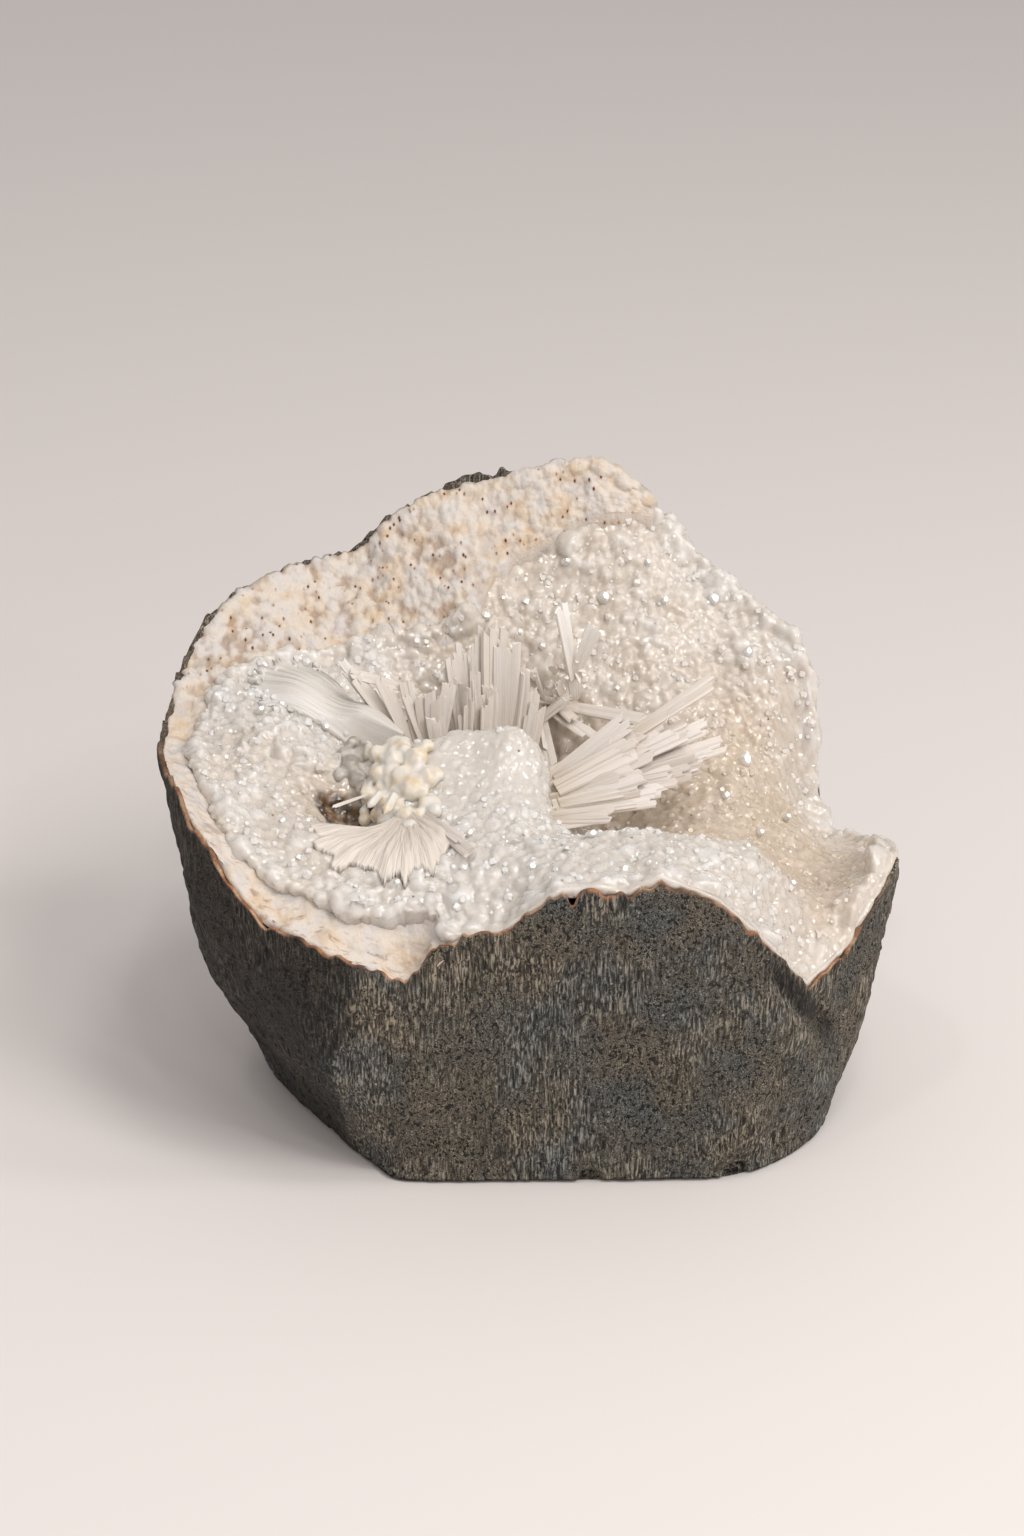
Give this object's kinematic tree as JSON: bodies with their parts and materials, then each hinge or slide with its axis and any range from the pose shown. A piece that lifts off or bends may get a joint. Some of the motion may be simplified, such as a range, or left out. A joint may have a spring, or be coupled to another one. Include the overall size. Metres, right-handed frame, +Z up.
{
  "type": "scolecite mineral specimen on basalt",
  "caption": "Half a basalt vug lined with a creamy rind and a milky crystal crust, open to the front and top, carrying fans and bundles of white scolecite needles; stands on its flat cut base.",
  "frame": {"origin": "middle of the outer box in plan, on the flat base", "axes": "+X to the viewer's right along the widest extent, -Y towards the open low front, +Z up"},
  "size_m": [0.151, 0.1153, 0.1203],
  "materials": {
    "basalt": "rough, fine pitted",
    "rind": "matt, knobbly",
    "milky_crystal": "sugary, translucent, sparkling",
    "scolecite": "silky, striated",
    "cream_mineral": "smooth, waxy"
  },
  "bodies": {
    "root": {"basalt_matrix": "basalt", "creamy_rind": "rind", "druse_crust": "milky_crystal", "scolecite_fan_right": "scolecite", "scolecite_bundle_centre": "scolecite", "scolecite_spray_left": "scolecite", "scolecite_pair_back": "scolecite", "scolecite_blades_crossing": "scolecite", "scolecite_fan_left": "scolecite", "scolecite_silky_patch": "scolecite", "cream_ball_cluster": "cream_mineral"}
  },
  "joints": []
}
